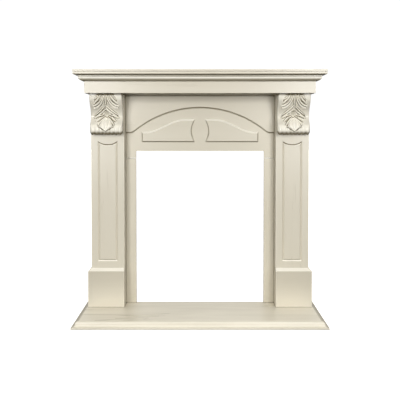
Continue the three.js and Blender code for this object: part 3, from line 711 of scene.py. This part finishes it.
def painted_board(name, grain, painted_light, tones=PAINT_TONES, gloss=BOARD_GLOSS, fibre_share=FIBRE_SHARE):
    """Satin ivory paint over a fine-grained board, with painted shade and painted highlights in its colour.
    The grain is the axis, 0 to 2, along which it runs.
    """
    material = bpy.data.materials.new(name)
    material.use_nodes = True
    tree = material.node_tree
    link = tree.links.new
    shader = tree.nodes["Principled BSDF"]
    place = tree.nodes.new("ShaderNodeTexCoord").outputs["Object"]

    mixed = tree.nodes.new("ShaderNodeMix")
    mixed.inputs["Factor"].default_value = fibre_share
    link(streaks(tree, place, grain, FIGURE_SCALES, FIGURE), mixed.inputs["A"])
    link(streaks(tree, place, grain, FIBRE_SCALES, FIBRES), mixed.inputs["B"])
    tone = mixed.outputs["Result"]
    ramp = tree.nodes.new("ShaderNodeValToRGB")
    for element, position, colour in zip(ramp.color_ramp.elements, COLOUR_TONES, tones):
        element.position = position
        element.color = colour
    link(tone, ramp.inputs["Fac"])

    # The painted shade and the painted highlights are mixed into the paint's colour
    painted_shade, highlight = painted_light(tree)
    shaded = tinted(tree, painted_shade, ramp.outputs["Color"], SHADE_TINT)
    link(tinted(tree, highlight, shaded, HIGHLIGHT_TINT), shader.inputs["Base Color"])
    link(map_range(tree, tone, GLOSS_TONES, gloss), shader.inputs["Roughness"])
    grained = bumped(tree, tone, GRAIN_BUMP)
    link(bumped(tree, noise(tree, place, SKIN), SKIN_BUMP, grained), shader.inputs["Normal"])
    return material


# Softened edges of the boards, and those whose relief or thin lip is too fine for them
EDGE_ROUNDING = 0.0008
EDGE_SEGMENTS = 2
EDGE_ANGLE = math.radians(28)
FLAT_ANGLE = math.radians(0.5)
WELD_DISTANCE = 1e-6
LEFT_SHARP = ("header_panel", "plinth")


def geometry_tree(name):
    group = bpy.data.node_groups.new(name, "GeometryNodeTree")
    group.interface.new_socket("Geometry", in_out="INPUT", socket_type="NodeSocketGeometry")
    group.interface.new_socket("Geometry", in_out="OUTPUT", socket_type="NodeSocketGeometry")
    return group, group.nodes.new("NodeGroupInput"), group.nodes.new("NodeGroupOutput")


def plain_shading():
    """A modifier tree that drops the flat shading a board comes with."""
    group, given, result = geometry_tree("plain_shading")
    geometry = given.outputs["Geometry"]
    for attribute in ("custom_normal", "sharp_edge", "sharp_face"):
        remove = group.nodes.new("GeometryNodeRemoveAttribute")
        remove.inputs["Name"].default_value = attribute
        group.links.new(geometry, remove.inputs["Geometry"])
        geometry = remove.outputs["Geometry"]
    group.links.new(geometry, result.inputs["Geometry"])
    return group


def smooth_by_angle():
    """A modifier tree that shades faces smooth and keeps edges sharp above an angle."""
    group, given, result = geometry_tree("smooth_by_angle")
    add = group.nodes.new
    link = group.links.new
    faces = add("GeometryNodeSetShadeSmooth")
    faces.domain = "FACE"
    faces.inputs["Shade Smooth"].default_value = True
    edges = add("GeometryNodeSetShadeSmooth")
    edges.domain = "EDGE"
    edges.inputs["Shade Smooth"].default_value = False
    angle = add("GeometryNodeInputMeshEdgeAngle")
    above = add("FunctionNodeCompare")
    above.operation = "GREATER_THAN"
    above.inputs["B"].default_value = EDGE_ANGLE
    link(given.outputs["Geometry"], faces.inputs["Geometry"])
    link(faces.outputs["Geometry"], edges.inputs["Geometry"])
    link(angle.outputs["Unsigned Angle"], above.inputs["A"])
    link(above.outputs["Result"], edges.inputs["Selection"])
    link(edges.outputs["Geometry"], result.inputs["Geometry"])
    return group


def smooth(board, bare, smoothing, rounded):
    """Shades a board smooth up to its sharp edges, and rounds those edges if asked."""
    plain = board.modifiers.new("plain_shading", "NODES")
    plain.node_group = bare
    weld = board.modifiers.new("weld", "WELD")
    weld.merge_threshold = WELD_DISTANCE
    if rounded:
        flat = board.modifiers.new("flat_faces", "DECIMATE")
        flat.decimate_type = "DISSOLVE"
        flat.angle_limit = FLAT_ANGLE
    shading = board.modifiers.new("smooth_by_angle", "NODES")
    shading.node_group = smoothing
    if rounded:
        rounding = board.modifiers.new("edge_rounding", "BEVEL")
        rounding.width = EDGE_ROUNDING
        rounding.segments = EDGE_SEGMENTS
        rounding.limit_method = "ANGLE"
        rounding.angle_limit = EDGE_ANGLE
        rounding.harden_normals = True


def paint(board, material):
    if not board.material_slots:
        board.data.materials.append(None)
    for material_slot in board.material_slots:
        material_slot.link = "OBJECT"
        material_slot.material = material


# The paint of each board by the start of its name, with the axis along which its grain runs
ALONG_X, ALONG_Y, ALONG_Z = range(3)
plain_x = painted_board("ivory_paint_grain_x", ALONG_X, board_painted_light)
plain_y = painted_board("ivory_paint_grain_y", ALONG_Y, board_painted_light)
plain_z = painted_board("ivory_paint_grain_z", ALONG_Z, board_painted_light)
bed_x = painted_board("ivory_paint_bed_x", ALONG_X, bed_painted_light)
bed_y = painted_board("ivory_paint_bed_y", ALONG_Y, bed_painted_light)
hearth_paint = painted_board(
    "ivory_paint_hearth", ALONG_X, hearth_painted_light, BRIGHTER_HEARTH_TONES, fibre_share=HEARTH_FIBRE_SHARE
)
# The carving's paint is lighter than the boards', with painted shade and highlights from its mesh
carved_paint = painted_board("ivory_paint_carving", ALONG_Z, carving_painted_light, BRIGHTER_CARVING_TONES, CARVING_GLOSS)
BOARD_PAINTS = {
    "hearth": hearth_paint,
    "plinth": painted_board("ivory_paint_plinth", ALONG_X, plinth_painted_light),
    "pilaster_front": painted_board("ivory_paint_panel", ALONG_Z, panel_painted_light),
    "pilaster_inner": painted_board("ivory_paint_inner", ALONG_Z, inner_painted_light),
    "pilaster_outer": plain_z,
    "header_panel": painted_board("ivory_paint_header", ALONG_X, header_painted_light),
    "jamb": painted_board("ivory_paint_jamb", ALONG_Z, jamb_painted_light),
    "soffit": painted_board("ivory_paint_recess_x", ALONG_X, recess_painted_light),
    "frieze_front": plain_x,
    "frieze_end": plain_y,
    "bed_moulding_front": bed_x,
    "bed_moulding_left": bed_y,
    "bed_moulding_right": bed_y,
    "mantel_shelf": plain_x,
}

bare = plain_shading()
smoothing = smooth_by_angle()
for name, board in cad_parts.items():
    if name.startswith("corbel"):
        continue
    smooth(board, bare, smoothing, not name.startswith(LEFT_SHARP))
    paint(board, next(material for start, material in BOARD_PAINTS.items() if name.startswith(start)))
carved, painted_shading = carved_front()
for side in ("left", "right"):
    make_corbel(side, carved, painted_shading, carved_paint)

# White floor, which sheds no light on the piece
HALF_FLOOR = 20.0
FLOOR_COLOUR = (0.9, 0.9, 0.9, 1)
FLOOR_ROUGHNESS = 0.9
FLOOR_GLOW = 1.0
floor_mesh = bpy.data.meshes.new("floor")
floor_corners = [(x * HALF_FLOOR, y * HALF_FLOOR, 0) for x, y in ((-1, -1), (1, -1), (1, 1), (-1, 1))]
floor_mesh.from_pydata(floor_corners, [], [(0, 1, 2, 3)])
floor = bpy.data.objects.new("floor", floor_mesh)
bpy.context.scene.collection.objects.link(floor)
floor_material = bpy.data.materials.new("white_floor")
floor_material.use_nodes = True
floor_shader = floor_material.node_tree.nodes["Principled BSDF"]
floor_shader.inputs["Base Color"].default_value = FLOOR_COLOUR
floor_shader.inputs["Roughness"].default_value = FLOOR_ROUGHNESS
floor_shader.inputs["Emission Color"].default_value = WHITE
floor_shader.inputs["Emission Strength"].default_value = FLOOR_GLOW
floor_mesh.materials.append(floor_material)
floor.visible_diffuse = False
floor.visible_glossy = False

# Lamps: a pair in front and a strip overhead, with sizes in metres and power in watts
LAMP_AIM = Vector((0.0, 0.0, 0.55))
LAMP_DISTANCE = 3.0
KEY_AZIMUTH = 22
KEY_ELEVATION = 10
KEY_SIZE = (0.8, 1.25)
KEY_POWER = 35.3
STRIP_ELEVATION = 79
STRIP_SIZE = (1.8, 0.16)
STRIP_POWER = 15


def softbox(name, azimuth, elevation, size, power):
    """A soft lamp aimed at the middle of the piece. Azimuth 0 is in front and 90 on the right."""
    data = bpy.data.lights.new(name, "AREA")
    data.shape = "RECTANGLE"
    data.size, data.size_y = size
    data.energy = power
    lamp = bpy.data.objects.new(name, data)
    around = math.radians(azimuth)
    up = math.radians(elevation)
    towards = Vector((math.sin(around) * math.cos(up), -math.cos(around) * math.cos(up), math.sin(up)))
    lamp.location = LAMP_AIM + LAMP_DISTANCE * towards
    lamp.rotation_euler = (-towards).to_track_quat("-Z", "Y").to_euler()
    lamp.visible_camera = False
    bpy.context.scene.collection.objects.link(lamp)


softbox("key_left", -KEY_AZIMUTH, KEY_ELEVATION, KEY_SIZE, KEY_POWER)
softbox("key_right", KEY_AZIMUTH, KEY_ELEVATION, KEY_SIZE, KEY_POWER)
softbox("strip", 0, STRIP_ELEVATION, STRIP_SIZE, STRIP_POWER)

# Even light from above, weaker from below and from either side, as (below, above). A warmer surround shows
# in the gloss, and a white backdrop behind the piece.
SKY_STRENGTHS = (0.067, 0.61)
REFLECTED_STRENGTHS = (0.15, 1.05)
REFLECTED_TINT = (1, 0.97, 0.89, 1)
HORIZON = (-0.02, 0.02)
SIDE_RANGE = (0.35, 0.9)
SIDE_SHARE = 0.3
BACKDROP_STRENGTH = 1.05


def surround(sky, tint, strengths):
    """Light of one tint all round, weaker from below and from either side."""
    direction = parts_of(sky, sky.nodes.new("ShaderNodeTexCoord").outputs["Generated"])
    sideways = calculated(sky, "ABSOLUTE", direction["X"])
    strength = map_range(sky, direction["Z"], HORIZON, strengths)
    strength = calculated(sky, "MULTIPLY", strength, map_range(sky, sideways, SIDE_RANGE, (1, SIDE_SHARE)))
    node = sky.nodes.new("ShaderNodeBackground")
    node.inputs["Color"].default_value = tint
    sky.links.new(strength, node.inputs["Strength"])
    return node.outputs["Background"]


def chosen(sky, factor, first, second):
    node = sky.nodes.new("ShaderNodeMixShader")
    sky.links.new(factor, node.inputs["Fac"])
    sky.links.new(first, node.inputs[1])
    sky.links.new(second, node.inputs[2])
    return node.outputs["Shader"]


world = bpy.data.worlds.new("studio")
bpy.context.scene.world = world
world.use_nodes = True
sky = world.node_tree
lighting = surround(sky, WHITE, SKY_STRENGTHS)
reflected = surround(sky, REFLECTED_TINT, REFLECTED_STRENGTHS)
backdrop = sky.nodes.new("ShaderNodeBackground")
backdrop.inputs["Color"].default_value = WHITE
backdrop.inputs["Strength"].default_value = BACKDROP_STRENGTH
rays = sky.nodes.new("ShaderNodeLightPath").outputs
studio = chosen(sky, rays["Is Glossy Ray"], lighting, reflected)
studio = chosen(sky, rays["Is Camera Ray"], studio, backdrop.outputs["Background"])
sky.links.new(studio, sky.nodes["World Output"].inputs["Surface"])

# Camera at the photograph's viewing angle, looking a little down
CAMERA_PLACE = (0.0, -2.308, 0.738)
CAMERA_DOWN_ANGLE = 1.35
CAMERA_SENSOR = 36.0
CAMERA_LENS = 51.7
CAMERA_SHIFT = -0.14
camera_data = bpy.data.cameras.new("camera")
camera_data.sensor_width = CAMERA_SENSOR
camera_data.lens = CAMERA_LENS
camera_data.shift_y = CAMERA_SHIFT
camera = bpy.data.objects.new("camera", camera_data)
camera.location = CAMERA_PLACE
camera.rotation_euler = (math.radians(90 - CAMERA_DOWN_ANGLE), 0.0, 0.0)
bpy.context.scene.collection.objects.link(camera)
bpy.context.scene.camera = camera
bpy.context.scene.view_settings.view_transform = "Standard"
